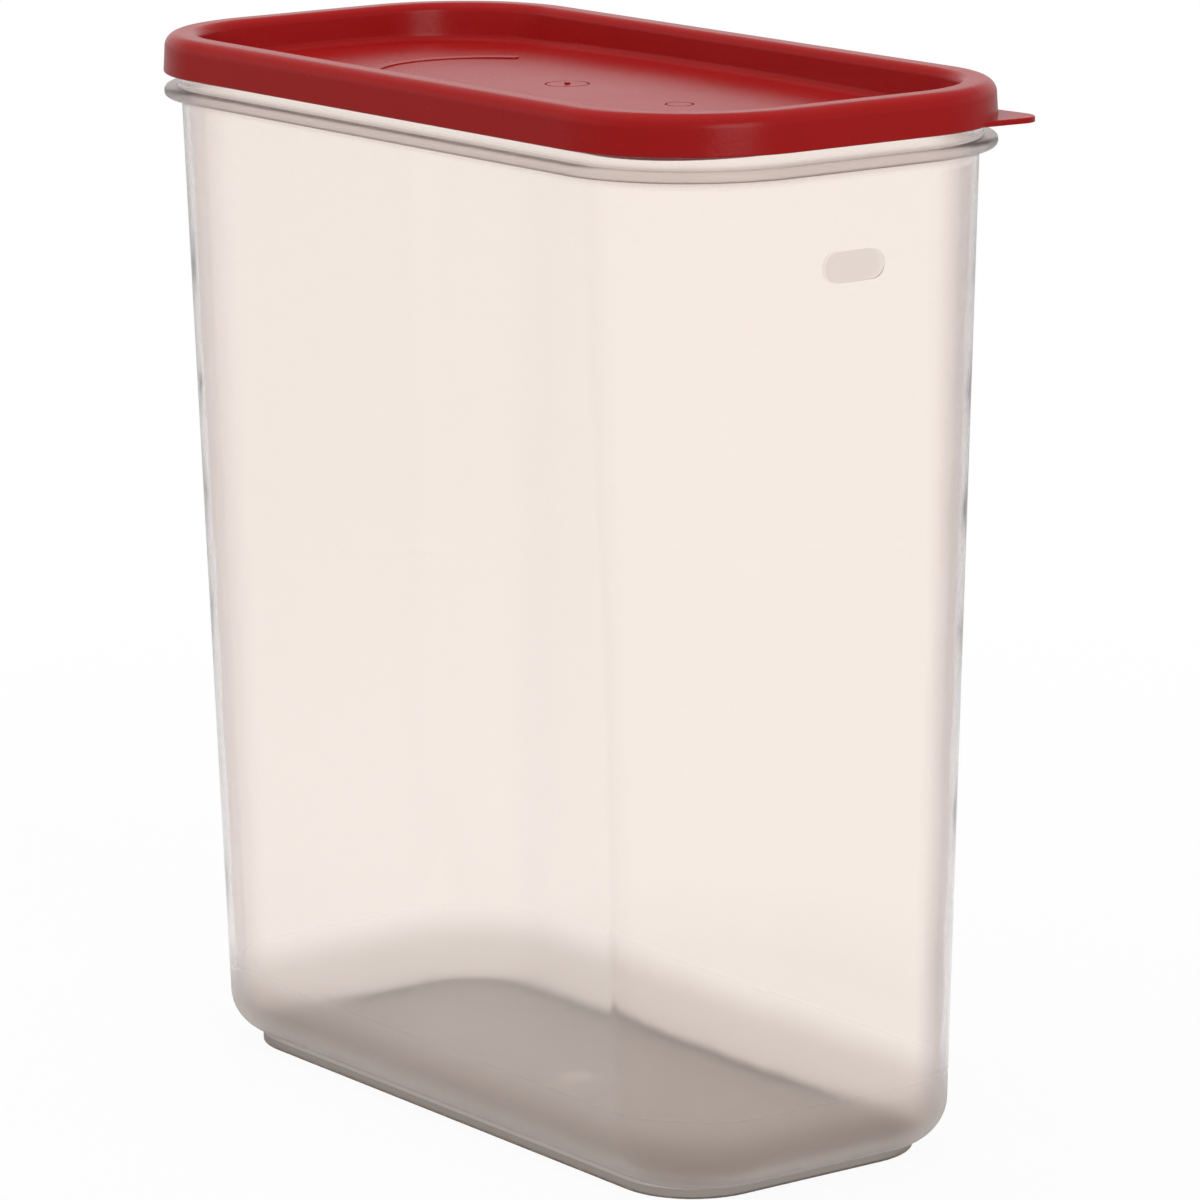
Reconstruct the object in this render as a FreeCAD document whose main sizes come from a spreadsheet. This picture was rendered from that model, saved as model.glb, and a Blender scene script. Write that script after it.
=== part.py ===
import FreeCAD
import Part
import Sketcher
import math
import os

# A tall food storage canister of two mouldings: a drafted see-through container with a rolled stop
# bead under its mouth, and a flexible lid whose rim straddles the mouth. Millimetres, +Z up, X along
# the long side, origin at the middle of the foot. Every level of both pieces is the outline of the
# mouth moved in or out about the same four corner centres; the foot ring's are nearer the middle.

SIZES = [
    ("mouth_length", 225.4, "outside of the collar, along X"),
    ("mouth_width", 110.0, "outside of the collar, along Y"),
    ("mouth_radius", 34.4, "corner radius of the collar's outside"),
    ("container_height", 257.0, "floor to the lip"),
    ("lip_height", 11.0, "lip above the stop bead"),
    ("collar_wall", 2.4, "collar thickness"),
    ("lip_bead", 0.8, "how far the snap bead stands out of the collar"),
    ("lip_bead_height", 1.8, "height of the snap bead"),
    ("lip_bead_drop", 1.2, "lip to the top of the snap bead"),
    ("lip_bead_round", 0.7, "rounding of the snap bead"),
    ("lip_round", 0.7, "rounding of the lip"),
    ("bead_reach", 3.3, "how far the stop bead stands out of the collar"),
    ("bead_thickness", 2.6, "height of the stop bead"),
    ("bead_round", 1.1, "rounding of the stop bead"),
    ("wall_step", 0.9, "side wall inside the collar's face"),
    ("wall_draft", 7.6, "how far each side leans in from top to bottom"),
    ("side_wall", 1.8, "side wall thickness"),
    ("base_wall", 1.8, "floor thickness"),
    ("base_round", 10.8, "rounding between side and floor"),
    ("foot_inset", 5.9, "foot ring inside the side wall"),
    ("foot_end_inset", 3.3, "how much further in the foot ring is at its two ends"),
    ("foot_height", 2.5, "height of the foot ring"),
    ("foot_wall", 2.2, "thickness of the foot ring"),
    ("foot_round", 0.5, "rounding of the foot ring's edge"),
    ("base_mark", 9.0, "diameter of the gate recess under the floor"),
    ("base_mark_depth", 0.5, "depth of the gate recess under the floor"),
    ("badge_drop", 22.4, "middle of the frosted badge below the stop bead"),
    ("badge_length", 17.0, "frosted badge across the short side"),
    ("badge_tall", 7.0, "frosted badge up the short side"),
    ("badge_relief", 0.35, "how far the badge stands out of the wall"),
    ("snap_gap", 0.3, "lid's snap rib clear of the lip's snap bead"),
    ("snap_rib", 0.9, "how far the snap rib stands into the channel"),
    ("snap_rib_height", 1.4, "height of the snap rib"),
    ("snap_rib_raise", 0.7, "snap rib above the skirt's edge"),
    ("snap_rib_round", 0.5, "rounding of the snap rib"),
    ("lip_gap", 0.4, "lip below the channel's roof"),
    ("plug_gap", 0.3, "plug inside the collar"),
    ("plug_draft", 2.4, "how far the plug leans in downwards"),
    ("plug_wall", 1.5, "plug thickness at the deck"),
    ("well_draft", 1.0, "how far the well's wall leans in downwards"),
    ("well_round", 2.2, "rounding between the well's wall and the deck"),
    ("crown_wall", 1.6, "thickness of the crown over the lip"),
    ("crown_outer_round", 3.4, "rounding of the crown's outer shoulder"),
    ("crown_inner_round", 2.4, "rounding of the crown's inner shoulder"),
    ("channel_round", 1.2, "rounding in the channel's roof"),
    ("skirt_height", 9.6, "crown to the skirt's edge"),
    ("skirt_wall", 1.4, "skirt thickness"),
    ("skirt_draft", 0.6, "how far the skirt flares downwards"),
    ("skirt_round", 0.4, "rounding of the skirt's edge"),
    ("deck_drop", 7.4, "crown to the middle of the deck"),
    ("deck_wall", 1.2, "deck thickness"),
    ("deck_bow_along", 3400.0, "radius of the deck's bow along X"),
    ("deck_bow_across", 700.0, "radius of the deck's bow along Y"),
    ("tab_reach", 8.6, "peel tab beyond the skirt's corner"),
    ("tab_width", 24.0, "peel tab at its root"),
    ("tab_tip_radius", 5.5, "rounding of the tab's tip"),
    ("tab_wall", 1.3, "peel tab thickness"),
    ("tab_round", 0.4, "rounding of the tab's upper edge"),
    ("gate_ring", 11.0, "diameter of the gate circle in the deck"),
    ("pin_ring", 7.0, "diameter of the ejector circle in the deck"),
    ("pin_place", 45.0, "ejector circle from the lid's middle along X"),
    ("ring_groove", 0.5, "width of both circles' grooves"),
    ("ring_depth", 0.3, "depth of both circles' grooves"),
    ("gate_nub", 1.5, "diameter of the gate's nub"),
    ("gate_nub_height", 0.4, "height of the gate's nub"),
    ("arc_rib_place", 36.0, "centre of the plain arc rib from the lid's middle, towards -X"),
    ("arc_rib_radius", 27.0, "middle of the arc rib"),
    ("arc_rib_width", 3.2, "width of the arc rib"),
    ("arc_rib_span", 104.0, "angle that the arc rib covers, in degrees"),
    ("arc_rib_relief", 0.3, "least height of the arc rib over the deck"),
]

NEAR = 0.01
FLAT = 0.1
UP = FreeCAD.Vector(0, 0, 1)

doc = FreeCAD.newDocument("canister")
sheet = doc.addObject("Spreadsheet::Sheet", "sizes")
for row, (alias, value, meaning) in enumerate(SIZES, 1):
    sheet.set(f"A{row}", meaning)
    sheet.set(f"B{row}", str(value))
    sheet.setAlias(f"B{row}", alias)
doc.recompute()

# Levels above the foot, as expressions of the sheet's cells.
BEAD_TOP = "(sizes.container_height - sizes.lip_height)"
BEAD_BOTTOM = f"({BEAD_TOP} - sizes.bead_thickness)"
LIP_BEAD_TOP = "(sizes.container_height - sizes.lip_bead_drop)"
CAVITY_FLOOR = "(sizes.foot_height + sizes.base_wall)"
ROOF = "(sizes.container_height + sizes.lip_gap)"
CROWN = f"({ROOF} + sizes.crown_wall)"
SKIRT_EDGE = f"({CROWN} - sizes.skirt_height)"
RIB_LOW = f"({SKIRT_EDGE} + sizes.snap_rib_raise)"
DECK = f"({CROWN} - sizes.deck_drop)"
DECK_FALL = ("(sizes.mouth_length ^ 2 / (8 * sizes.deck_bow_along)"
             " + sizes.mouth_width ^ 2 / (8 * sizes.deck_bow_across) + sizes.deck_wall)")
PLUG_LOW = f"({DECK} - {DECK_FALL})"

# Heights of the leaning walls.
WALL_SPAN = f"({BEAD_TOP} - sizes.foot_height)"
CAVITY_SPAN = f"({BEAD_TOP} - {CAVITY_FLOOR})"
CHANNEL_SPAN = f"({ROOF} - {PLUG_LOW})"
WELL_SPAN = f"({CROWN} - {PLUG_LOW})"

# Distances out of the mouth's outline, inwards where negative.
WALL_TOP = "(-sizes.wall_step)"
WALL_LOW = "(-sizes.wall_step - sizes.wall_draft)"
CAVITY_LEAN = f"(sizes.wall_draft * {CAVITY_SPAN} / {WALL_SPAN})"
CAVITY_LOW = f"({WALL_TOP} - sizes.side_wall - {CAVITY_LEAN})"
FOOT = f"({WALL_LOW} - sizes.foot_inset)"
RIB = "(sizes.lip_bead + sizes.snap_gap)"
SKIRT = f"({RIB} + sizes.snap_rib + sizes.skirt_wall)"
SKIRT_MIDDLE = f"({SKIRT} - sizes.skirt_wall / 2)"
SKIRT_INSIDE = f"({SKIRT} - sizes.skirt_wall)"
FLARE = "sizes.skirt_draft / sizes.skirt_height"
ROOF_OUTSIDE = f"({SKIRT_INSIDE} - {FLARE} * ({ROOF} - {SKIRT_EDGE}))"
PLUG_TOP = "(-sizes.collar_wall - sizes.plug_gap)"
WELL_LOW = f"({PLUG_TOP} - sizes.plug_draft - sizes.plug_wall)"
WELL_TOP = f"({WELL_LOW} + sizes.well_draft)"
PLUG_MIDDLE = f"({WELL_LOW} + sizes.plug_wall / 2)"

# Middle of the mouth's corner.
CORNER_X = "sizes.mouth_length / 2 - sizes.mouth_radius"
CORNER_Y = "sizes.mouth_width / 2 - sizes.mouth_radius"


def start_body(name):
    body = doc.addObject("PartDesign::Body", name)
    body.Label = name
    return body


def plane(body, role):
    return next(item for item in body.Origin.OriginFeatures if item.Role == role)


def start_sketch(body, name, role, **offsets):
    """A sketch on one of the body's own planes, moved by expressions for x, y and z."""
    sketch = body.newObject("Sketcher::SketchObject", name)
    sketch.AttachmentSupport = [(plane(body, role), "")]
    sketch.MapMode = "FlatFace"
    for axis, expression in offsets.items():
        sketch.setExpression(f"AttachmentOffset.Base.{axis}", expression)
    return sketch


def constrain(sketch, kind, *places):
    return sketch.addConstraint(Sketcher.Constraint(kind, *places))


def dimension(sketch, expression, kind, *places):
    """A driving constraint, held by an expression."""
    index = constrain(sketch, kind, *places)
    sketch.setExpression(f"Constraints[{index}]", expression)


def add_arc(sketch, centre, radius, begin, end):
    circle = Part.Circle(FreeCAD.Vector(*centre, 0), UP, radius)
    return sketch.addGeometry(Part.ArcOfCircle(circle, begin, end))


def add_line(sketch, begin, end):
    return sketch.addGeometry(Part.LineSegment(FreeCAD.Vector(*begin, 0), FreeCAD.Vector(*end, 0)))


def add_circle(sketch, diameter, start):
    circle = sketch.addGeometry(Part.Circle(FreeCAD.Vector(), UP, start / 2))
    constrain(sketch, "Coincident", circle, 3, -1, 1)
    dimension(sketch, diameter, "Diameter", circle, start)


def add_outline(sketch, offset, shorten):
    """The mouth's rounded rectangle, moved out by an offset and shortened: four arcs and four lines."""
    radius = sheet.mouth_radius
    half_x = sheet.mouth_length / 2 - radius
    half_y = sheet.mouth_width / 2 - radius
    quarter = math.pi / 2
    middles = [(half_x, half_y), (-half_x, half_y), (-half_x, -half_y), (half_x, -half_y)]
    arcs = []
    for turn, middle in enumerate(middles):
        arcs.append(add_arc(sketch, middle, radius, turn * quarter, (turn + 1) * quarter))
    first, second, third, fourth = arcs
    ends = [(-half_x, half_y + radius), (-half_x - radius, -half_y), (half_x, -half_y - radius),
            (half_x + radius, half_y)]
    starts = [(half_x, half_y + radius), (-half_x - radius, half_y), (-half_x, -half_y - radius),
              (half_x + radius, -half_y)]
    for turn in range(4):
        side = add_line(sketch, starts[turn], ends[turn])
        constrain(sketch, "Tangent", arcs[turn], 2, side, 1)
        constrain(sketch, "Tangent", side, 2, arcs[(turn + 1) % 4], 1)
    for other in (second, third, fourth):
        constrain(sketch, "Equal", first, other)
    constrain(sketch, "Symmetric", first, 3, second, 3, -2)
    constrain(sketch, "Symmetric", fourth, 3, third, 3, -2)
    constrain(sketch, "Symmetric", first, 3, fourth, 3, -1)
    dimension(sketch, f"{CORNER_X} - {shorten}", "DistanceX", -1, 1, first, 3, half_x)
    dimension(sketch, CORNER_Y, "DistanceY", -1, 1, first, 3, half_y)
    dimension(sketch, f"sizes.mouth_radius + {offset}", "Radius", first, radius)


def outline(body, name, height, *offsets, shorten="0"):
    """A level of a piece: one outline, or an outer and an inner one for a ring."""
    sketch = start_sketch(body, name, "XY_Plane", z=height)
    for offset in offsets:
        add_outline(sketch, offset, shorten)
    doc.recompute()
    return sketch


def extrude(body, kind, name, sketch, length, reverse=False):
    """A straight pad or pocket of a sketch."""
    feature = body.newObject(f"PartDesign::{kind}", name)
    feature.Profile = sketch
    feature.setExpression("Length", length)
    feature.Reversed = reverse
    doc.recompute()


def outer_wire(sketch):
    return max(sketch.Shape.Wires, key=lambda wire: wire.BoundBox.XLength)


def inner_wire(sketch):
    return min(sketch.Shape.Wires, key=lambda wire: wire.BoundBox.XLength)


def raised(wire, height):
    return wire.translated(UP * height)


def edges_on(shape, wire):
    """Names of a shape's edges that lie on a wire."""
    names = []
    for number, edge in enumerate(shape.Edges, 1):
        middle = edge.valueAt((edge.FirstParameter + edge.LastParameter) / 2)
        places = [Part.Vertex(middle)] + edge.Vertexes
        if all(place.distToShape(wire)[0] < NEAR for place in places):
            names.append(f"Edge{number}")
    return names


def round_edges(body, name, radius, *wires):
    """Rounds the edges that lie on the given wires."""
    base = body.Tip
    feature = body.newObject("PartDesign::Fillet", name)
    feature.Base = (base, [edge for wire in wires for edge in edges_on(base.Shape, wire)])
    feature.setExpression("Radius", radius)
    doc.recompute()


def lean_walls(body, name, sketch, wire, lean, span, reverse):
    """Leans the upright walls that meet a wire by a distance over a span; the wire stays in place."""
    base = body.Tip
    level = body.newObject("PartDesign::Plane", f"{name}_level")
    level.AttachmentSupport = [(plane(body, "XY_Plane"), "")]
    level.MapMode = "FlatFace"
    level.setExpression("AttachmentOffset.Base.z", f"{sketch.Name}.AttachmentOffset.Base.z")
    on_wire = [base.Shape.getElement(edge) for edge in edges_on(base.Shape, wire)]
    walls = []
    for number, face in enumerate(base.Shape.Faces, 1):
        upright = face.BoundBox.ZLength > FLAT
        if upright and any(edge.isSame(other) for edge in face.Edges for other in on_wire):
            walls.append(f"Face{number}")
    feature = body.newObject("PartDesign::Draft", name)
    feature.Base = (base, walls)
    feature.NeutralPlane = (level, [""])
    feature.Reversed = reverse
    feature.setExpression("Angle", f"atan(({lean}) / {span})")
    doc.recompute()


def bow_cut(body, name, drop, above):
    """Cuts a body to the deck's bow: an arc across the lid, swung about an axis far below it."""
    sketch = start_sketch(body, f"{name}_profile", "YZ_Plane")
    reach = sheet.mouth_width
    bow = sheet.deck_bow_across
    top = sheet.container_height + sheet.lip_gap + sheet.crown_wall - sheet.deck_drop
    fall = bow - math.sqrt(bow ** 2 - reach ** 2)
    far = top + 2 * sheet.deck_drop if above else top - 2 * sheet.deck_drop - fall
    swing = math.asin(reach / bow)
    arc = add_arc(sketch, (0, top - bow), bow, math.pi / 2 - swing, math.pi / 2 + swing)
    corners = [(-reach, top - fall), (-reach, far), (reach, far), (reach, top - fall)]
    left, edge, right = [add_line(sketch, *ends) for ends in zip(corners, corners[1:])]
    for here, there in ((arc, left), (left, edge), (edge, right), (right, arc)):
        constrain(sketch, "Coincident", here, 2, there, 1)
    constrain(sketch, "Vertical", left)
    constrain(sketch, "Vertical", right)
    constrain(sketch, "Horizontal", edge)
    constrain(sketch, "Symmetric", arc, 1, arc, 2, -2)
    dimension(sketch, "sizes.mouth_width", "DistanceX", -1, 1, arc, 1, reach)
    dimension(sketch, f"sizes.deck_bow_across - {drop}", "Radius", arc, bow)
    dimension(sketch, f"{DECK} - sizes.deck_bow_across", "DistanceY", -1, 1, arc, 3, top - bow)
    far_level = f"{CROWN} + sizes.deck_drop" if above else f"{PLUG_LOW} - {DECK_FALL} - sizes.deck_drop"
    dimension(sketch, far_level, "DistanceY", -1, 1, edge, 1, far)
    axis_level = top - sheet.deck_bow_along
    axis = add_line(sketch, (-reach, axis_level), (reach, axis_level))
    sketch.setConstruction(axis, True)
    constrain(sketch, "Symmetric", axis, 1, axis, 2, -2)
    dimension(sketch, "sizes.mouth_width", "DistanceX", -1, 1, axis, 2, reach)
    dimension(sketch, f"{DECK} - sizes.deck_bow_along", "DistanceY", -1, 1, axis, 2, axis_level)
    doc.recompute()
    feature = body.newObject("PartDesign::Groove", name)
    feature.Profile = sketch
    feature.ReferenceAxis = (sketch, ["Axis0"])
    feature.setExpression("Angle", "4 * atan(sizes.mouth_length / sizes.deck_bow_along)")
    feature.Midplane = True
    doc.recompute()


# The container: drafted side walls over a rounded floor and a foot ring, with the stop bead, the
# collar and the lip's snap bead round the mouth.
container = start_body("container")
wall_top = outline(container, "wall_top", BEAD_TOP, WALL_TOP)
extrude(container, "Pad", "wall_block", wall_top, WALL_SPAN, reverse=True)
lean_walls(container, "walls", wall_top, outer_wire(wall_top), "sizes.wall_draft", WALL_SPAN, reverse=True)

bead = outline(container, "bead", BEAD_BOTTOM, "sizes.bead_reach")
extrude(container, "Pad", "stop_bead", bead, "sizes.bead_thickness")
bead_wire = outer_wire(bead)
round_edges(container, "bead_rounding", "sizes.bead_round", bead_wire,
            raised(bead_wire, sheet.bead_thickness))

collar = outline(container, "collar", BEAD_BOTTOM, "0")
extrude(container, "Pad", "collar_block", collar, "sizes.bead_thickness + sizes.lip_height")
snap = outline(container, "snap", f"{LIP_BEAD_TOP} - sizes.lip_bead_height", "sizes.lip_bead")
extrude(container, "Pad", "snap_bead", snap, "sizes.lip_bead_height")
snap_wire = outer_wire(snap)
round_edges(container, "snap_rounding", "sizes.lip_bead_round", snap_wire,
            raised(snap_wire, sheet.lip_bead_height))

mouth = outline(container, "mouth", "sizes.container_height", "-sizes.collar_wall")
extrude(container, "Pocket", "mouth_opening", mouth, "sizes.lip_height")
cavity_floor = outline(container, "cavity_floor", CAVITY_FLOOR, CAVITY_LOW)
extrude(container, "Pocket", "cavity", cavity_floor, CAVITY_SPAN, reverse=True)
lean_walls(container, "cavity_walls", cavity_floor, outer_wire(cavity_floor), CAVITY_LEAN, CAVITY_SPAN,
           reverse=False)
round_edges(container, "floor_rounding", "sizes.base_round - sizes.side_wall", outer_wire(cavity_floor))
lip_wire = raised(outer_wire(collar), sheet.bead_thickness + sheet.lip_height)
round_edges(container, "lip_rounding", "sizes.lip_round", outer_wire(mouth), lip_wire)

wall_low = outline(container, "wall_low", "sizes.foot_height", WALL_LOW)
round_edges(container, "base_rounding", "sizes.base_round", outer_wire(wall_low))
end_inset = "sizes.foot_end_inset"
foot = outline(container, "foot", "0", FOOT, shorten=end_inset)
extrude(container, "Pad", "foot_block", foot, CAVITY_FLOOR)
foot_inside = outline(container, "foot_inside", "0", f"{FOOT} - sizes.foot_wall", shorten=end_inset)
extrude(container, "Pocket", "foot_recess", foot_inside, "sizes.foot_height", reverse=True)
round_edges(container, "foot_rounding", "sizes.foot_round", outer_wire(foot), outer_wire(foot_inside))

base_mark = start_sketch(container, "base_mark", "XY_Plane", z="sizes.foot_height")
add_circle(base_mark, "sizes.base_mark", sheet.base_mark)
extrude(container, "Pocket", "base_gate_recess", base_mark, "sizes.base_mark_depth", reverse=True)

# The badge: a low frosted obround on the short side, where the wall leans in at its height.
BADGE_LEVEL = f"({BEAD_BOTTOM} - sizes.badge_drop)"
BADGE_LEAN = f"sizes.wall_draft * ({BEAD_TOP} - {BADGE_LEVEL}) / {WALL_SPAN}"
BADGE_FACE = f"sizes.mouth_length / 2 - sizes.wall_step - {BADGE_LEAN} + sizes.badge_relief"
badge = start_sketch(container, "badge", "YZ_Plane", y=BADGE_LEVEL, z=BADGE_FACE)
badge_half = (sheet.badge_length - sheet.badge_tall) / 2
badge_end = sheet.badge_tall / 2
right_end = add_arc(badge, (badge_half, 0), badge_end, -math.pi / 2, math.pi / 2)
left_end = add_arc(badge, (-badge_half, 0), badge_end, math.pi / 2, 3 * math.pi / 2)
badge_top = add_line(badge, (badge_half, badge_end), (-badge_half, badge_end))
badge_bottom = add_line(badge, (-badge_half, -badge_end), (badge_half, -badge_end))
for here, there in ((right_end, badge_top), (badge_top, left_end), (left_end, badge_bottom),
                    (badge_bottom, right_end)):
    constrain(badge, "Tangent", here, 2, there, 1)
constrain(badge, "Equal", right_end, left_end)
constrain(badge, "Symmetric", right_end, 3, left_end, 3, -1, 1)
constrain(badge, "PointOnObject", right_end, 3, -1)
dimension(badge, "(sizes.badge_length - sizes.badge_tall) / 2", "DistanceX", -1, 1, right_end, 3, badge_half)
dimension(badge, "sizes.badge_tall / 2", "Radius", right_end, badge_end)
extrude(container, "Pad", "badge_pad", badge, "sizes.badge_relief + sizes.side_wall / 2", reverse=True)

# The lid's rim: the crown over the lip, the flared skirt outside it and the plug inside it, with the
# channel for the lip between them and the snap rib inside the skirt.
lid = start_body("lid")
skirt_edge = outline(lid, "skirt_edge", SKIRT_EDGE, SKIRT)
extrude(lid, "Pad", "crown_block", skirt_edge, "sizes.skirt_height")
lean_walls(lid, "skirt", skirt_edge, outer_wire(skirt_edge), "sizes.skirt_draft", "sizes.skirt_height",
           reverse=False)
plug_low = outline(lid, "plug_low", PLUG_LOW, "-sizes.collar_wall")
extrude(lid, "Pad", "plug_block", plug_low, f"{SKIRT_EDGE} - {PLUG_LOW}")

channel_roof = outline(lid, "channel_roof", ROOF, ROOF_OUTSIDE, PLUG_TOP)
extrude(lid, "Pocket", "channel", channel_roof, CHANNEL_SPAN)
lean_walls(lid, "skirt_inside", channel_roof, outer_wire(channel_roof), f"{FLARE} * {CHANNEL_SPAN}",
           CHANNEL_SPAN, reverse=True)
lean_walls(lid, "plug_outside", channel_roof, inner_wire(channel_roof), "sizes.plug_draft", CHANNEL_SPAN,
           reverse=True)
well_low = outline(lid, "well_low", PLUG_LOW, WELL_LOW)
extrude(lid, "Pocket", "well", well_low, WELL_SPAN, reverse=True)
lean_walls(lid, "well_walls", well_low, outer_wire(well_low), "sizes.well_draft", WELL_SPAN, reverse=False)

crown = outline(lid, "crown", CROWN, f"({SKIRT} - sizes.skirt_draft)", WELL_TOP)
round_edges(lid, "crown_outer_rounding", "sizes.crown_outer_round", outer_wire(crown))
round_edges(lid, "crown_inner_rounding", "sizes.crown_inner_round", inner_wire(crown))
round_edges(lid, "channel_rounding", "sizes.channel_round", *channel_roof.Shape.Wires)
skirt_low = outline(lid, "skirt_low", SKIRT_EDGE, SKIRT_INSIDE)
round_edges(lid, "skirt_rounding", "sizes.skirt_round", outer_wire(skirt_edge), outer_wire(skirt_low))
rib = outline(lid, "rib", RIB_LOW, SKIRT_MIDDLE, RIB)
extrude(lid, "Pad", "snap_rib", rib, "sizes.snap_rib_height")
rib_wire = inner_wire(rib)
round_edges(lid, "rib_rounding", "sizes.snap_rib_round", rib_wire, raised(rib_wire, sheet.snap_rib_height))

# The deck: a thin sheet bowed both ways that closes the plug, joined to the rim and rounded into it.
deck = start_body("deck")
deck_low = outline(deck, "deck_low", PLUG_LOW, PLUG_MIDDLE)
extrude(deck, "Pad", "deck_block", deck_low, f"{CROWN} - {PLUG_LOW}")
bow_cut(deck, "deck_upper_face", "0", above=True)
join = lid.newObject("PartDesign::Boolean", "deck_join")
join.setObjects([deck])
join.Type = "Fuse"
doc.recompute()
bow_cut(lid, "deck_lower_face", "sizes.deck_wall", above=False)
broad_faces = sorted(lid.Tip.Shape.Faces, key=lambda face: face.Area)[-2:]
upper_face = max(broad_faces, key=lambda face: face.CenterOfMass.z)
round_edges(lid, "well_rounding", "sizes.well_round", upper_face.OuterWire)

# The peel tab: a rounded tongue on the diagonal of the (+X, +Y) corner, level with the skirt's edge
# and rooted in the skirt's wall.
tab = start_sketch(lid, "tab", "XY_Plane", x=CORNER_X, y=CORNER_Y, z=SKIRT_EDGE)
tab.AttachmentOffset = FreeCAD.Placement(tab.AttachmentOffset.Base, FreeCAD.Rotation(UP, 45))
root = sheet.mouth_radius + sheet.lip_bead + sheet.snap_gap + sheet.snap_rib + sheet.skirt_wall / 2
half_root = sheet.tab_width / 2
root_swing = math.asin(half_root / root)
root_depth = math.sqrt(root ** 2 - half_root ** 2)
tip = sheet.tab_tip_radius
tip_swing = math.radians(50)
tip_middle = root + sheet.skirt_wall / 2 + sheet.tab_reach - tip
tip_side = (tip_middle + tip * math.cos(tip_swing), tip * math.sin(tip_swing))
tip_arc = add_arc(tab, (tip_middle, 0), tip, -tip_swing, tip_swing)
root_arc = add_arc(tab, (0, 0), root, -root_swing, root_swing)
far_side = add_line(tab, tip_side, (root_depth, half_root))
near_side = add_line(tab, (root_depth, -half_root), (tip_side[0], -tip_side[1]))
constrain(tab, "Tangent", tip_arc, 2, far_side, 1)
constrain(tab, "Coincident", far_side, 2, root_arc, 2)
constrain(tab, "Coincident", root_arc, 1, near_side, 1)
constrain(tab, "Tangent", near_side, 2, tip_arc, 1)
constrain(tab, "Coincident", root_arc, 3, -1, 1)
constrain(tab, "PointOnObject", tip_arc, 3, -1)
dimension(tab, f"sizes.mouth_radius + {SKIRT_MIDDLE}", "Radius", root_arc, root)
dimension(tab, "sizes.tab_width / 2", "DistanceY", -1, 1, root_arc, 2, half_root)
dimension(tab, "sizes.tab_width / 2", "DistanceY", root_arc, 1, -1, 1, half_root)
dimension(tab, "sizes.tab_tip_radius", "Radius", tip_arc, tip)
dimension(tab, f"sizes.mouth_radius + {SKIRT} + sizes.tab_reach - sizes.tab_tip_radius",
          "DistanceX", -1, 1, tip_arc, 3, tip_middle)
extrude(lid, "Pad", "peel_tab", tab, "sizes.tab_wall")
round_edges(lid, "tab_rounding", "sizes.tab_round", raised(outer_wire(tab), sheet.tab_wall))

# Moulding marks on the deck: the gate's circle and nub, an ejector circle and a plain arc rib.
gate = start_sketch(lid, "gate", "XY_Plane", z=DECK)
add_circle(gate, "sizes.gate_ring", sheet.gate_ring)
add_circle(gate, "sizes.gate_ring - 2 * sizes.ring_groove", sheet.gate_ring - 2 * sheet.ring_groove)
extrude(lid, "Pocket", "gate_groove", gate, "sizes.ring_depth")
nub = start_sketch(lid, "nub", "XY_Plane", z=f"{DECK} - sizes.deck_wall / 2")
add_circle(nub, "sizes.gate_nub", sheet.gate_nub)
extrude(lid, "Pad", "gate_nub_pad", nub, "sizes.deck_wall / 2 + sizes.gate_nub_height")
pin = start_sketch(lid, "pin", "XY_Plane", x="sizes.pin_place", z=DECK)
add_circle(pin, "sizes.pin_ring", sheet.pin_ring)
add_circle(pin, "sizes.pin_ring - 2 * sizes.ring_groove", sheet.pin_ring - 2 * sheet.ring_groove)
PIN_FALL = "sizes.pin_place ^ 2 / (2 * sizes.deck_bow_along)"
extrude(lid, "Pocket", "pin_groove", pin, f"sizes.ring_depth + {PIN_FALL}")

RIB_FALL = "(sizes.arc_rib_place + sizes.arc_rib_radius) ^ 2 / (2 * sizes.deck_bow_along)"
ARC_RIB_TOP = f"({DECK} - {RIB_FALL} + sizes.arc_rib_relief)"
arc_rib = start_sketch(lid, "arc_rib", "XY_Plane", x="-sizes.arc_rib_place", z=ARC_RIB_TOP)
half_span = math.radians(sheet.arc_rib_span / 2)
rib_radius = sheet.arc_rib_radius
cap = sheet.arc_rib_width / 2
first_turn = math.pi - half_span
last_turn = math.pi + half_span
first_end = (rib_radius * math.cos(first_turn), rib_radius * math.sin(first_turn))
last_end = (rib_radius * math.cos(last_turn), rib_radius * math.sin(last_turn))
outer_arc = add_arc(arc_rib, (0, 0), rib_radius + cap, first_turn, last_turn)
inner_arc = add_arc(arc_rib, (0, 0), rib_radius - cap, first_turn, last_turn)
first_cap = add_arc(arc_rib, first_end, cap, first_turn - math.pi, first_turn)
last_cap = add_arc(arc_rib, last_end, cap, last_turn, last_turn + math.pi)
constrain(arc_rib, "Coincident", outer_arc, 3, -1, 1)
constrain(arc_rib, "Coincident", inner_arc, 3, -1, 1)
constrain(arc_rib, "Tangent", first_cap, 2, outer_arc, 1)
constrain(arc_rib, "Tangent", first_cap, 1, inner_arc, 1)
constrain(arc_rib, "Tangent", last_cap, 1, outer_arc, 2)
constrain(arc_rib, "Tangent", last_cap, 2, inner_arc, 2)
dimension(arc_rib, "sizes.arc_rib_radius + sizes.arc_rib_width / 2", "Radius", outer_arc, rib_radius + cap)
dimension(arc_rib, "sizes.arc_rib_radius - sizes.arc_rib_width / 2", "Radius", inner_arc, rib_radius - cap)
CAP_RISE = "sizes.arc_rib_radius * sin(sizes.arc_rib_span / 2)"
dimension(arc_rib, CAP_RISE, "DistanceY", -1, 1, first_cap, 3, first_end[1])
dimension(arc_rib, CAP_RISE, "DistanceY", last_cap, 3, -1, 1, first_end[1])
extrude(lid, "Pad", "arc_rib_pad", arc_rib, "sizes.arc_rib_relief + sizes.deck_wall / 2", reverse=True)

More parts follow.
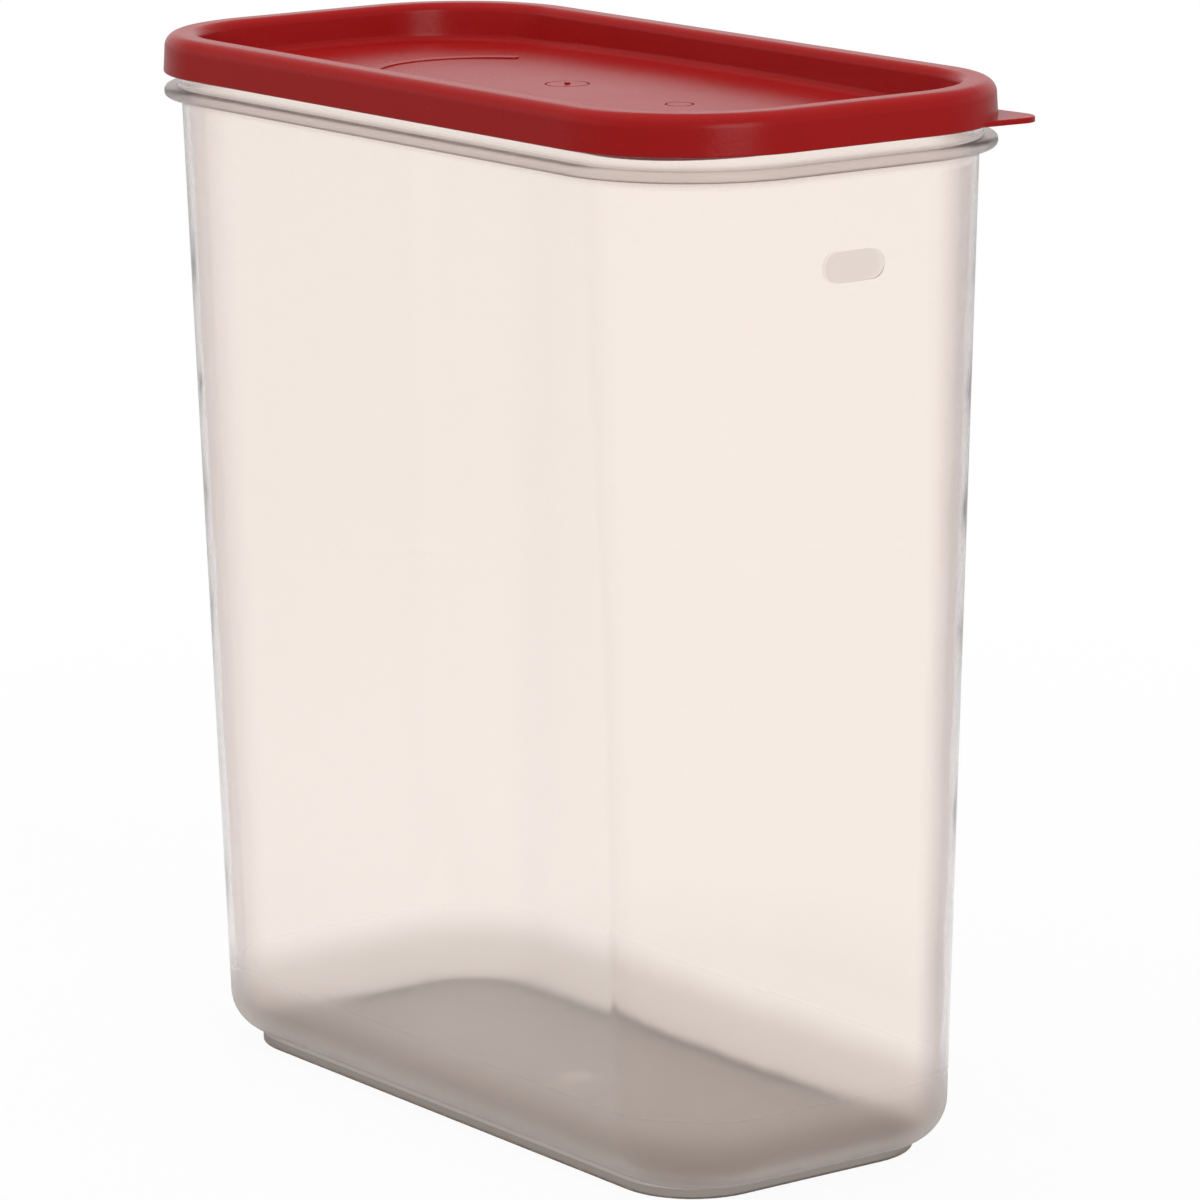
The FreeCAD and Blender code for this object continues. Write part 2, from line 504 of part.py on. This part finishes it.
# Nothing is written unless every object of the document came out whole.
doc.recompute()
for item in doc.Objects:
    if "Invalid" in item.State or "Error" in item.State:
        raise RuntimeError(f"{item.Name} failed: {item.State}")
pieces = [container, lid]
for piece in pieces:
    if piece.Shape.isNull() or not piece.Shape.isValid() or len(piece.Shape.Solids) != 1:
        raise RuntimeError(f"{piece.Label} is not one whole solid")
os.makedirs("parts", exist_ok=True)
for piece in pieces:
    piece.Shape.exportStep(f"parts/{piece.Label}.step")
    box = piece.Shape.optimalBoundingBox()
    print(piece.Label, "volume", round(piece.Shape.Volume / 1000, 1), "cm3, box",
          [round(v, 2) for v in (box.XMin, box.XMax, box.YMin, box.YMax, box.ZMin, box.ZMax)])
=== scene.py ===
import bpy
import math
from mathutils import Matrix, Vector


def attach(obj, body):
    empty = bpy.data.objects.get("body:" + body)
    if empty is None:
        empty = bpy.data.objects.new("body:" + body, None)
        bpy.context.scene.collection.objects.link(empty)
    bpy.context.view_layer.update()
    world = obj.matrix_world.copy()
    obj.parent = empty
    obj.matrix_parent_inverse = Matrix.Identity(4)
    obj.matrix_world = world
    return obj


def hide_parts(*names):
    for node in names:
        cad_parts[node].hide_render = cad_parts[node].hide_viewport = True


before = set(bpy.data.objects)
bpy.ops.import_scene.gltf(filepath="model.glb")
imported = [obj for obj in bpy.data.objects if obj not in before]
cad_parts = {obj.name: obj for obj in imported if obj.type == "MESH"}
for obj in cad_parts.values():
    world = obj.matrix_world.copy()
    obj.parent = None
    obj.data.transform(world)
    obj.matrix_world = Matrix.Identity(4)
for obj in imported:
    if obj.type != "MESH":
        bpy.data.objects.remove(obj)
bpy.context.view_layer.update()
bpy.ops.object.select_all(action="DESELECT")
scene = bpy.context.scene
scene.view_settings.view_transform = "Standard"
print("frame loaded, nodes:", sorted(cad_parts))

# Camera, measured from the object: metres and radians, turn counted from -Y towards +X
cameraSetup = {
    "turn": 0.94473,
    "distance": 1.51519,  # along the floor
    "height": 0.45068,
    "aimTurn": 0.00436,  # away from the object's middle
    "aimTilt": -0.21214,
    "roll": -0.01019,
    "focalPixels": 6324.67,
    "imageWidth": 1200.0,
    "sensorWidth": 36.0,  # millimetres
    "clipStart": 0.05,
    "clipEnd": 30.0,
}


def placeCamera(setup):
    turn, distance = setup["turn"], setup["distance"]
    place = Vector((distance * math.sin(turn), -distance * math.cos(turn), setup["height"]))
    aim = math.atan2(-place.x, -place.y) + setup["aimTurn"]
    tilt = setup["aimTilt"]
    forward = Vector((math.sin(aim) * math.cos(tilt), math.cos(aim) * math.cos(tilt), math.sin(tilt)))
    right = Vector((forward.y, -forward.x, 0.0)).normalized()
    up = right.cross(forward)
    cosRoll, sinRoll = math.cos(setup["roll"]), math.sin(setup["roll"])
    right, up = right * cosRoll + up * sinRoll, up * cosRoll - right * sinRoll
    axes = Matrix((right, up, -forward)).transposed()
    bpy.ops.object.camera_add()
    camera = bpy.context.object
    camera.name = "studioCamera"
    camera.matrix_world = Matrix.Translation(place) @ axes.to_4x4()
    camera.data.sensor_fit = "HORIZONTAL"
    camera.data.sensor_width = setup["sensorWidth"]
    camera.data.lens = setup["focalPixels"] * setup["sensorWidth"] / setup["imageWidth"]
    camera.data.clip_start = setup["clipStart"]
    camera.data.clip_end = setup["clipEnd"]
    scene.camera = camera


placeCamera(cameraSetup)
print("camera placed")


# Small helpers for shader trees
def addNode(tree, kind, **values):
    node = tree.nodes.new(kind)
    for name, value in values.items():
        if hasattr(node, name):
            setattr(node, name, value)
        else:
            node.inputs[name].default_value = value
    return node


def fillInputs(node, values):
    for name, value in values.items():
        node.inputs[name].default_value = value


def calculate(tree, operation, first, second=None, third=None):
    node = addNode(tree, "ShaderNodeMath", operation=operation)
    for socket, value in zip(node.inputs, (first, second, third)):
        if isinstance(value, float):
            socket.default_value = value
        elif value is not None:
            tree.links.new(value, socket)
    return node.outputs["Value"]


# A value that runs from start to end becomes one that runs from low to high
def spread(tree, source, low, high, start=0.0, end=1.0):
    node = addNode(tree, "ShaderNodeMapRange")
    fillInputs(node, {"From Min": start, "From Max": end, "To Min": low, "To Max": high})
    tree.links.new(source, node.inputs["Value"])
    return node.outputs["Result"]


def addRamp(tree, source, stops):
    ramp = tree.nodes.new("ShaderNodeValToRGB")
    ramp.color_ramp.interpolation = "EASE"
    marks = ramp.color_ramp.elements
    while len(marks) < len(stops):
        marks.new(1.0)
    for mark, (place, value) in zip(marks, stops):
        mark.position = place
        mark.color = (value, value, value, 1.0)
    tree.links.new(source, ramp.inputs["Fac"])
    return ramp.outputs["Color"]


def mixColours(tree, factor, first, second):
    mix = addNode(tree, "ShaderNodeMix", data_type="RGBA")
    ends = [socket for socket in mix.inputs if socket.type == "RGBA"]
    for end, colour in zip(ends, (first, second)):
        if isinstance(colour, tuple):
            end.default_value = colour
        else:
            tree.links.new(colour, end)
    tree.links.new(factor, mix.inputs["Factor"])
    return [socket for socket in mix.outputs if socket.type == "RGBA"][0]


def mixShaders(tree, factor, first, second):
    blend = tree.nodes.new("ShaderNodeMixShader")
    tree.links.new(factor, blend.inputs["Fac"])
    tree.links.new(first, blend.inputs[1])
    tree.links.new(second, blend.inputs[2])
    return blend.outputs["Shader"]


def startMaterial(name):
    material = bpy.data.materials.new(name)
    material.use_nodes = True
    tree = material.node_tree
    tree.nodes.clear()
    output = tree.nodes.new("ShaderNodeOutputMaterial")
    return material, tree, output


def startGroup(name, scales, results):
    group = bpy.data.node_groups.new(name, "ShaderNodeTree")
    group.interface.new_socket("Vector", in_out="INPUT", socket_type="NodeSocketVector")
    for scale in scales:
        group.interface.new_socket(scale, in_out="INPUT", socket_type="NodeSocketFloat")
    for result in results:
        group.interface.new_socket(result, in_out="OUTPUT", socket_type="NodeSocketFloat")
    return group, group.nodes.new("NodeGroupInput"), group.nodes.new("NodeGroupOutput")


def addNoise(group, entry, scale, vector, **values):
    noise = addNode(group, "ShaderNodeTexNoise", **values)
    group.links.new(vector, noise.inputs["Vector"])
    group.links.new(entry.outputs[scale], noise.inputs["Scale"])
    return noise.outputs["Fac"]


# Fine moulded grain: a height from two sizes of noise
grainSetup = {
    "fineDetail": 2.0,
    "broadDetail": 3.0,
}


def buildGrainGroup(setup):
    group, entry, leave = startGroup("mouldedGrain", ["Fine Scale", "Broad Scale"], ["Height"])
    vector = entry.outputs["Vector"]
    fine = addNoise(group, entry, "Fine Scale", vector, Detail=setup["fineDetail"])
    broad = addNoise(group, entry, "Broad Scale", vector, Detail=setup["broadDetail"])
    group.links.new(calculate(group, "ADD", fine, broad), leave.inputs["Height"])
    return group


# Handling scuffs: a mask of thin level marks, and a soft haze that changes slowly
scuffSetup = {
    "stretch": (0.2, 0.2, 1.0),
    "markDetail": 4.0,
    "markRoughness": 0.7,
    "markStart": 0.58,  # noise below this leaves no mark
    "markFull": 0.72,
    "hazeDetail": 3.0,
}


def buildScuffGroup(setup):
    group, entry, leave = startGroup("handlingScuffs", ["Mark Scale", "Haze Scale"], ["Marks", "Haze"])
    vector = entry.outputs["Vector"]
    stretch = addNode(group, "ShaderNodeMapping", Scale=setup["stretch"])
    group.links.new(vector, stretch.inputs["Vector"])
    marks = addNoise(group, entry, "Mark Scale", stretch.outputs["Vector"],
                     Detail=setup["markDetail"], Roughness=setup["markRoughness"])
    haze = addNoise(group, entry, "Haze Scale", vector, Detail=setup["hazeDetail"])
    picked = spread(group, marks, 0.0, 1.0, setup["markStart"], setup["markFull"])
    group.links.new(picked, leave.inputs["Marks"])
    group.links.new(haze, leave.inputs["Haze"])
    return group


grainGroup = buildGrainGroup(grainSetup)
scuffGroup = buildScuffGroup(scuffSetup)
print("grain and scuffs built")


def useGroup(tree, group, coordinates, scales):
    node = tree.nodes.new("ShaderNodeGroup")
    node.node_tree = group
    tree.links.new(coordinates.outputs["Object"], node.inputs["Vector"])
    fillInputs(node, scales)
    return node


# Roughness that drifts with the haze and rises on the marks
def scuffedRoughness(tree, scuffs, look):
    rough = spread(tree, scuffs.outputs["Haze"], look["roughLow"], look["roughHigh"])
    return calculate(tree, "MULTIPLY_ADD", scuffs.outputs["Marks"], look["scuffRough"], rough)


def grainSurface(tree, coordinates, shader, look):
    grain = useGroup(tree, grainGroup, coordinates, look["grainScales"])
    bump = addNode(tree, "ShaderNodeBump", Strength=look["grainStrength"], Distance=look["grainDepth"])
    tree.links.new(grain.outputs["Height"], bump.inputs["Height"])
    tree.links.new(bump.outputs["Normal"], shader.inputs["Normal"])


# See-through plastic of the container: clear walls, frosted where it is thick or textured
containerLook = {
    "clear": (0.982, 0.930, 0.892, 1.0),
    "edge": (0.69, 0.62, 0.61, 1.0),  # where the wall is seen along its surface
    "edgePower": 3.0,
    # thick: grey of the thick frosted base, darkened further as painted shade
    "thick": (0.63, 0.57, 0.535, 1.0),
    "bead": (0.58, 0.495, 0.465, 1.0),
    # foot: dark grey painted contact shade on the frosted foot ring where it meets the floor
    "foot": (0.30, 0.26, 0.235, 1.0),
    "passes": 0.98,  # share of the light that goes through
    "ior": 1.20,  # thin moulded walls hardly bend the view behind them
    "coat": 0.6,
    "coatRough": 0.12,
    "roughLow": 0.04,
    "roughHigh": 0.10,
    "scuffRough": 0.015,
    "frostRough": 0.42,
    "scuffScales": {"Mark Scale": 90.0, "Haze Scale": 14.0},
    "grainScales": {"Fine Scale": 900.0, "Broad Scale": 60.0},
    "grainStrength": 0.015,
    "grainDepth": 0.0004,
    # levels run from the foot (0) to the mouth (1)
    "height": 0.257,
    "footLevel": 0.0098,
    "rimLevel": 0.935,  # stop bead and collar begin here
    "rimClear": 0.8,  # share of tint that the rim's corners lose
    # shares of frosting and of greying by level; the greying at the base is thick frosted plastic with
    # painted shade on top
    "frost": [(0.0, 1.0), (0.045, 0.9), (0.12, 0.0),
              (0.935, 0.0), (0.947, 0.75), (0.957, 0.75), (0.964, 0.30), (1.0, 0.30)],
    "grey": [(0.0, 1.0), (0.009, 1.0), (0.0125, 0.85), (0.035, 0.8), (0.085, 0.0),
             (0.938, 0.0), (0.948, 0.75), (0.957, 0.75), (0.962, 0.08)],
    # share of haze on an upright corner, from seen face on (0) to seen along its surface (1)
    "cornerHaze": [(0.18, 0.0), (0.45, 1.0), (0.85, 0.9), (1.0, 0.35)],
    "padHeight": 0.2210,
    "padStraight": 0.0050,  # half length of the pad's straight part
    "padRadius": 0.0035,
    "padTint": 0.35,
}


# Mask of the small bare pad with round ends on the end wall
def maskPad(tree, place, look):
    side = calculate(tree, "ABSOLUTE", place.outputs["Y"])
    across = calculate(tree, "MAXIMUM", calculate(tree, "SUBTRACT", side, look["padStraight"]), 0.0)
    upright = calculate(tree, "SUBTRACT", place.outputs["Z"], look["padHeight"])
    acrossSquare = calculate(tree, "MULTIPLY", across, across)
    reach = calculate(tree, "MULTIPLY_ADD", upright, upright, acrossSquare)
    inside = calculate(tree, "LESS_THAN", reach, look["padRadius"] ** 2)
    outer = calculate(tree, "GREATER_THAN", place.outputs["X"], 0.0)
    return calculate(tree, "MULTIPLY", inside, outer)


# Upright corners look hazier than flat walls, because the view runs further through them
def maskCorner(tree, coordinates, facing, look):
    normal = tree.nodes.new("ShaderNodeSeparateXYZ")
    tree.links.new(coordinates.outputs["Normal"], normal.inputs["Vector"])
    product = calculate(tree, "MULTIPLY", normal.outputs["X"], normal.outputs["Y"])
    corner = calculate(tree, "MULTIPLY", calculate(tree, "ABSOLUTE", product), 2.0)
    return calculate(tree, "MULTIPLY", corner, addRamp(tree, facing, look["cornerHaze"]))


def makeContainerPlastic(look):
    material, tree, output = startMaterial("clearPlastic")
    coordinates = tree.nodes.new("ShaderNodeTexCoord")
    shader = tree.nodes.new("ShaderNodeBsdfPrincipled")
    fillInputs(shader, {"Transmission Weight": look["passes"], "IOR": look["ior"],
                        "Coat Roughness": look["coatRough"]})
    place = tree.nodes.new("ShaderNodeSeparateXYZ")
    tree.links.new(coordinates.outputs["Object"], place.inputs["Vector"])
    level = calculate(tree, "DIVIDE", place.outputs["Z"], look["height"])
    pad = maskPad(tree, place, look)
    frosted = calculate(tree, "MAXIMUM", addRamp(tree, level, look["frost"]), pad)
    padGrey = calculate(tree, "MULTIPLY", pad, look["padTint"])
    greyAndBaseShade = calculate(tree, "MAXIMUM", addRamp(tree, level, look["grey"]), padGrey)

    # colour: clear walls, hazy edges, grey where thick with painted shade near the bottom, painted contact
    # shade on the foot, clear ends of the stop bead
    facing = addNode(tree, "ShaderNodeLayerWeight", Blend=0.5)
    slant = calculate(tree, "POWER", facing.outputs["Facing"], look["edgePower"])
    corner = maskCorner(tree, coordinates, facing.outputs["Facing"], look)
    wall = mixColours(tree, calculate(tree, "MAXIMUM", slant, corner), look["clear"], look["edge"])
    onRim = calculate(tree, "GREATER_THAN", level, look["rimLevel"])
    thick = mixColours(tree, onRim, look["thick"], look["bead"])
    tint = mixColours(tree, greyAndBaseShade, wall, thick)
    # painted contact shade: below footLevel the ring takes the dark foot colour
    onFoot = calculate(tree, "LESS_THAN", level, look["footLevel"])
    footShaded = mixColours(tree, onFoot, tint, look["foot"])
    rimCorner = calculate(tree, "MULTIPLY", onRim, corner)
    cleared = calculate(tree, "MULTIPLY", rimCorner, look["rimClear"])
    tree.links.new(mixColours(tree, cleared, footShaded, look["clear"]), shader.inputs["Base Color"])

    # finish: glossy coat on the clear walls only, dull where frosted
    scuffs = useGroup(tree, scuffGroup, coordinates, look["scuffScales"])
    marked = scuffedRoughness(tree, scuffs, look)
    dulled = calculate(tree, "MULTIPLY_ADD", frosted, look["frostRough"], marked)
    tree.links.new(dulled, shader.inputs["Roughness"])
    gloss = calculate(tree, "MULTIPLY_ADD", frosted, -look["coat"], look["coat"])
    tree.links.new(gloss, shader.inputs["Coat Weight"])
    grainSurface(tree, coordinates, shader, look)
    tree.links.new(shader.outputs["BSDF"], output.inputs["Surface"])
    return material


# Satin red plastic of the lid
lidLook = {
    "red": (0.248, 0.0055, 0.0055, 1.0),
    "redWorn": (0.276, 0.0085, 0.0080, 1.0),
    "ior": 1.5,
    "shine": 0.10,
    "roughLow": 0.21,
    "roughHigh": 0.31,
    "scuffRough": 0.025,
    "scuffScales": {"Mark Scale": 160.0, "Haze Scale": 25.0},
    "grainScales": {"Fine Scale": 1400.0, "Broad Scale": 500.0},
    "grainStrength": 0.12,
    "grainDepth": 0.0003,
}


def makeLidPlastic(look):
    material, tree, output = startMaterial("satinRedPlastic")
    coordinates = tree.nodes.new("ShaderNodeTexCoord")
    shader = tree.nodes.new("ShaderNodeBsdfPrincipled")
    fillInputs(shader, {"IOR": look["ior"], "Specular IOR Level": look["shine"]})
    scuffs = useGroup(tree, scuffGroup, coordinates, look["scuffScales"])
    red = mixColours(tree, scuffs.outputs["Haze"], look["red"], look["redWorn"])
    tree.links.new(red, shader.inputs["Base Color"])
    tree.links.new(scuffedRoughness(tree, scuffs, look), shader.inputs["Roughness"])
    grainSurface(tree, coordinates, shader, look)
    tree.links.new(shader.outputs["BSDF"], output.inputs["Surface"])
    return material


def dress(piece, material):
    piece.data.materials.clear()
    piece.data.materials.append(material)


# Each moulding is shown by a welded copy of its CAD node, so that its rounds run smoothly into its walls
containerMoulding = {
    "piece": "containerShell",
    "node": "container",
    "body": "canister",
    "slot": "clear_body",
    "weld": 1e-5,
    "sharp": 35.0,  # degrees from which an edge stays sharp
}
lidMoulding = {
    "piece": "lidShell",
    "node": "lid",
    "body": "cover",
    "slot": "red_lid",
    "weld": 1e-5,
    "sharp": 35.0,
}


def weldCopy(moulding, material):
    bpy.ops.object.select_all(action="DESELECT")
    piece = bpy.data.objects.new(moulding["piece"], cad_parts[moulding["node"]].data.copy())
    scene.collection.objects.link(piece)
    piece.select_set(True)
    bpy.context.view_layer.objects.active = piece
    bpy.ops.object.mode_set(mode="EDIT")
    bpy.ops.mesh.select_all(action="SELECT")
    bpy.ops.mesh.remove_doubles(threshold=moulding["weld"])
    bpy.ops.object.mode_set(mode="OBJECT")
    if piece.data.has_custom_normals:
        bpy.ops.mesh.customdata_custom_splitnormals_clear()
    bpy.ops.object.shade_smooth_by_angle(angle=math.radians(moulding["sharp"]))
    bpy.ops.object.modifier_add(type="WEIGHTED_NORMAL")
    piece.modifiers[-1].keep_sharp = True
    bpy.ops.object.modifier_apply(modifier=piece.modifiers[-1].name)
    dress(piece, material)
    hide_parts(moulding["node"])
    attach(piece, moulding["body"])
    print(piece.name, "welded,", len(piece.data.polygons), "faces")


weldCopy(containerMoulding, makeContainerPlastic(containerLook))
weldCopy(lidMoulding, makeLidPlastic(lidLook))

# Floor, world and lamps
floorSetup = {
    "radius": 0.70,
    "sides": 96,
    "drop": 0.0003,  # gap under the foot
    "colour": (0.62, 0.62, 0.62, 1.0),
    "white": 0.94,  # share of plain white that the eye sees on the floor near the object
    "fadeStart": 0.40,  # shares of the radius between which the floor turns plain white
    "fadeEnd": 0.95,
    "dim": 0.40,  # how much of the floor's white is lost in reflections at its edge
    "dimStart": 0.25,
}
worldSetup = {
    "skyLight": 0.82,
    # share of the sky's light by direction, from straight down (0) to straight up (1)
    "sky": [(0.0, 0.15), (0.48, 0.15), (0.60, 0.8), (1.0, 1.0)],
    # brightness of the room in reflections, from straight down (0) to straight up (1)
    "room": [(0.0, 0.60), (0.49, 0.60), (0.505, 0.86), (0.645, 0.90), (0.74, 0.5), (1.0, 0.45)],
    "white": (1.0, 1.0, 1.0, 1.0),
}
# places and sizes in metres, power in watts, mirrored if reflections show the lamp
lampSetup = {
    "topSoftbox": {"place": (-0.2, -0.1, 1.5), "aim": (0.0, 0.0, 0.15), "size": 1.4,
                   "power": 12.5, "mirrored": False},
    "leftSoftbox": {"place": (-1.0, -1.5, 0.9), "aim": (0.0, 0.0, 0.14), "size": 1.2,
                    "power": 7.5, "mirrored": False},
    "rightSoftbox": {"place": (1.8, -0.3, 0.75), "aim": (0.0, 0.0, 0.14), "size": 1.0,
                     "power": 18.0, "mirrored": True},
}


# Rays that the eye sees straight or through the plastic, and those together with reflections
def seenByEye(tree):
    path = tree.nodes.new("ShaderNodeLightPath")
    through = path.outputs["Is Transmission Ray"]
    straight = calculate(tree, "MAXIMUM", path.outputs["Is Camera Ray"], through)
    return straight, calculate(tree, "MAXIMUM", straight, path.outputs["Is Glossy Ray"])


def layFloor(setup):
    radius = setup["radius"]
    bpy.ops.mesh.primitive_circle_add(vertices=setup["sides"], radius=radius, fill_type="NGON",
                                      location=(0, 0, -setup["drop"]))
    floor = bpy.context.object
    floor.name = "paleFloor"
    material, tree, output = startMaterial("paleFloor")
    coordinates = tree.nodes.new("ShaderNodeTexCoord")
    away = addNode(tree, "ShaderNodeVectorMath", operation="LENGTH")
    tree.links.new(coordinates.outputs["Object"], away.inputs[0])
    reach = away.outputs["Value"]
    fade = spread(tree, reach, setup["white"], 1.0, setup["fadeStart"] * radius, setup["fadeEnd"] * radius)
    dim = spread(tree, reach, 0.0, setup["dim"], setup["dimStart"] * radius, radius)
    straight, seen = seenByEye(tree)
    mirrored = calculate(tree, "SUBTRACT", seen, straight)
    dimmed = calculate(tree, "MULTIPLY", mirrored, dim)
    white = tree.nodes.new("ShaderNodeEmission")
    tree.links.new(calculate(tree, "SUBTRACT", 1.0, dimmed), white.inputs["Strength"])
    matte = addNode(tree, "ShaderNodeBsdfDiffuse", Color=setup["colour"])
    whitened = calculate(tree, "MULTIPLY", seen, fade)
    surface = mixShaders(tree, whitened, matte.outputs["BSDF"], white.outputs["Emission"])
    tree.links.new(surface, output.inputs["Surface"])
    dress(floor, material)


def lightWorld(setup):
    world = bpy.data.worlds.new("studioWorld")
    scene.world = world
    world.use_nodes = True
    tree = world.node_tree
    tree.nodes.clear()
    output = tree.nodes.new("ShaderNodeOutputWorld")
    coordinates = tree.nodes.new("ShaderNodeTexCoord")
    direction = tree.nodes.new("ShaderNodeSeparateXYZ")
    tree.links.new(coordinates.outputs["Generated"], direction.inputs["Vector"])
    level = calculate(tree, "MULTIPLY_ADD", direction.outputs["Z"], 0.5, 0.5)
    sky = addNode(tree, "ShaderNodeBackground", Strength=setup["skyLight"])
    tree.links.new(addRamp(tree, level, setup["sky"]), sky.inputs["Color"])
    room = tree.nodes.new("ShaderNodeBackground")
    tree.links.new(addRamp(tree, level, setup["room"]), room.inputs["Color"])
    plain = addNode(tree, "ShaderNodeBackground", Color=setup["white"])
    straight, seen = seenByEye(tree)
    mirrored = mixShaders(tree, seen, sky.outputs["Background"], room.outputs["Background"])
    surface = mixShaders(tree, straight, mirrored, plain.outputs["Background"])
    tree.links.new(surface, output.inputs["Surface"])


def hangLamps(lamps):
    for name, lamp in lamps.items():
        bpy.ops.object.light_add(type="AREA", location=lamp["place"])
        light = bpy.context.object
        light.name = name
        light.data.size = lamp["size"]
        light.data.energy = lamp["power"]
        light.visible_glossy = lamp["mirrored"]
        away = Vector(lamp["place"]) - Vector(lamp["aim"])
        light.rotation_euler = away.to_track_quat("Z", "Y").to_euler()


layFloor(floorSetup)
lightWorld(worldSetup)
hangLamps(lampSetup)
print("stage lit")
